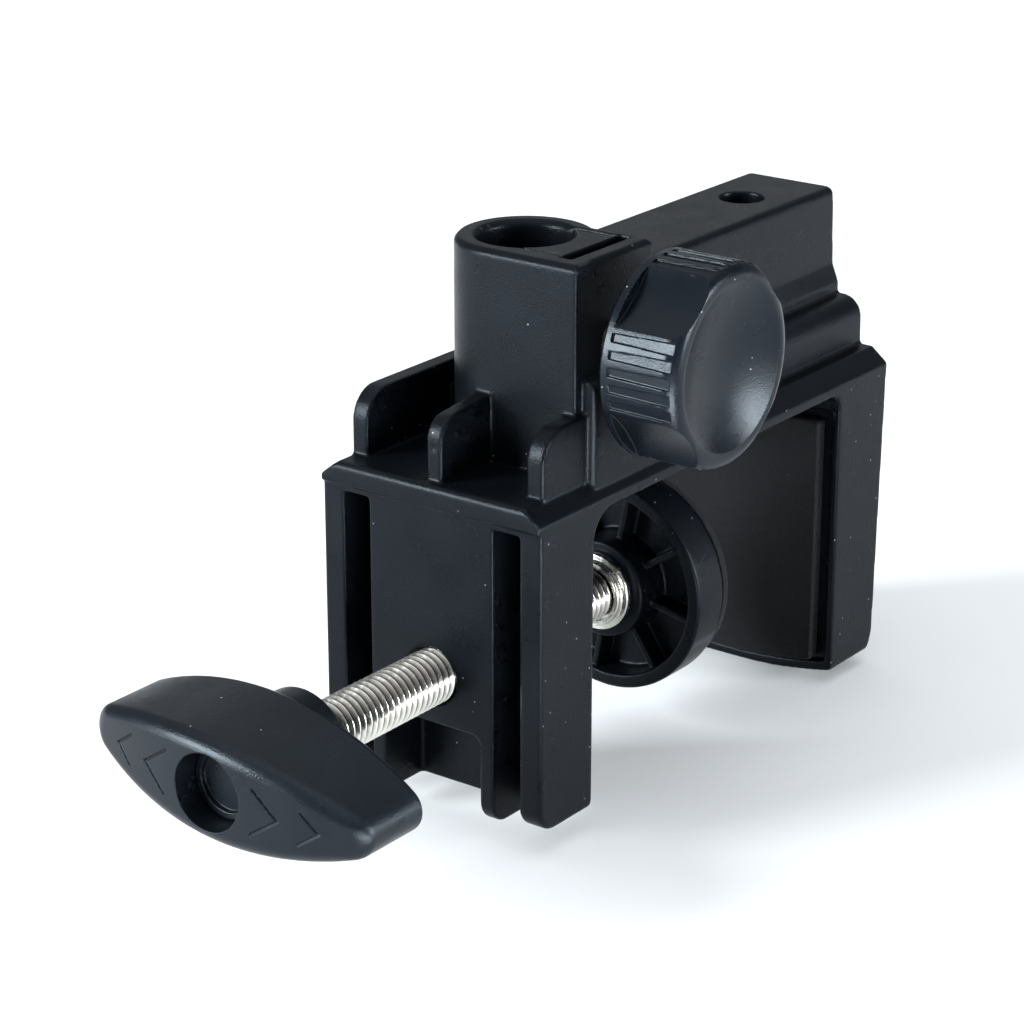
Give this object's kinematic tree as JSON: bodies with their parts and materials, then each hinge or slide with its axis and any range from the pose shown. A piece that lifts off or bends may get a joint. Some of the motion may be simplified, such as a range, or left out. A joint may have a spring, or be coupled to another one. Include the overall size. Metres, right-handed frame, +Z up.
{
  "type": "umbrella clamp bracket",
  "caption": "Screw clamp bracket with a vertical pole socket, a side lock knob, a T handle and padded jaws.",
  "frame": {"origin": "middle of the jaw pad's face, on the clamp screw's axis", "axes": "+Z up along the pole socket, +Y along the clamp screw from the handle to the jaw, +X towards the lock knob"},
  "size_m": [0.0713, 0.1714, 0.1032],
  "materials": {
    "body_plastic": "satin moulded black",
    "knob_plastic": "semi-gloss moulded black",
    "handle_plastic": "satin moulded black",
    "pad_foam": "matte black foam rubber",
    "nickel_steel": "nickel plated",
    "zinc_steel": "zinc plated"
  },
  "bodies": {
    "clamp_frame": {"clamp_body": "body_plastic", "bridge_beam": "body_plastic", "pole_socket": "body_plastic", "jaw_pad": "pad_foam", "clamp_nut": "zinc_steel", "lock_plate_nut": "zinc_steel"},
    "pad_carriage": {"pressure_pad": "body_plastic", "pad_facing": "pad_foam", "pad_washer": "nickel_steel"},
    "screw_and_handle": {"clamp_screw": "nickel_steel", "screw_clip": "zinc_steel", "clamp_handle": "handle_plastic", "handle_cap": "handle_plastic"},
    "lock_shoe": {"lock_shoe": "body_plastic"},
    "lock_knob": {"lock_knob": "knob_plastic", "lock_stud": "nickel_steel"}
  },
  "joints": [
    {"name": "pad_slide", "type": "slide", "parent": "clamp_frame", "child": "pad_carriage", "axis": [0, 1, 0], "range_m": [-0.03, 0.0285]},
    {"name": "screw_turn", "type": "hinge", "parent": "pad_carriage", "child": "screw_and_handle", "pos_m": [0, -0.095, 0], "axis": [0, 1, 0], "range_deg": [-7210, 6850]},
    {"name": "shoe_slide", "type": "slide", "parent": "clamp_frame", "child": "lock_shoe", "axis": [-1, 0, 0], "range_m": [0, 0.003]},
    {"name": "knob_turn", "type": "hinge", "parent": "lock_shoe", "child": "lock_knob", "pos_m": [0.019, -0.0657, 0.0568], "axis": [-1, 0, 0], "range_deg": [0, 870]}
  ],
  "couplings": [
    {"joint": "screw_turn", "follows": "pad_slide", "rad_per_m": 4188.8},
    {"joint": "knob_turn", "follows": "shoe_slide", "rad_per_m": 5026.5}
  ]
}
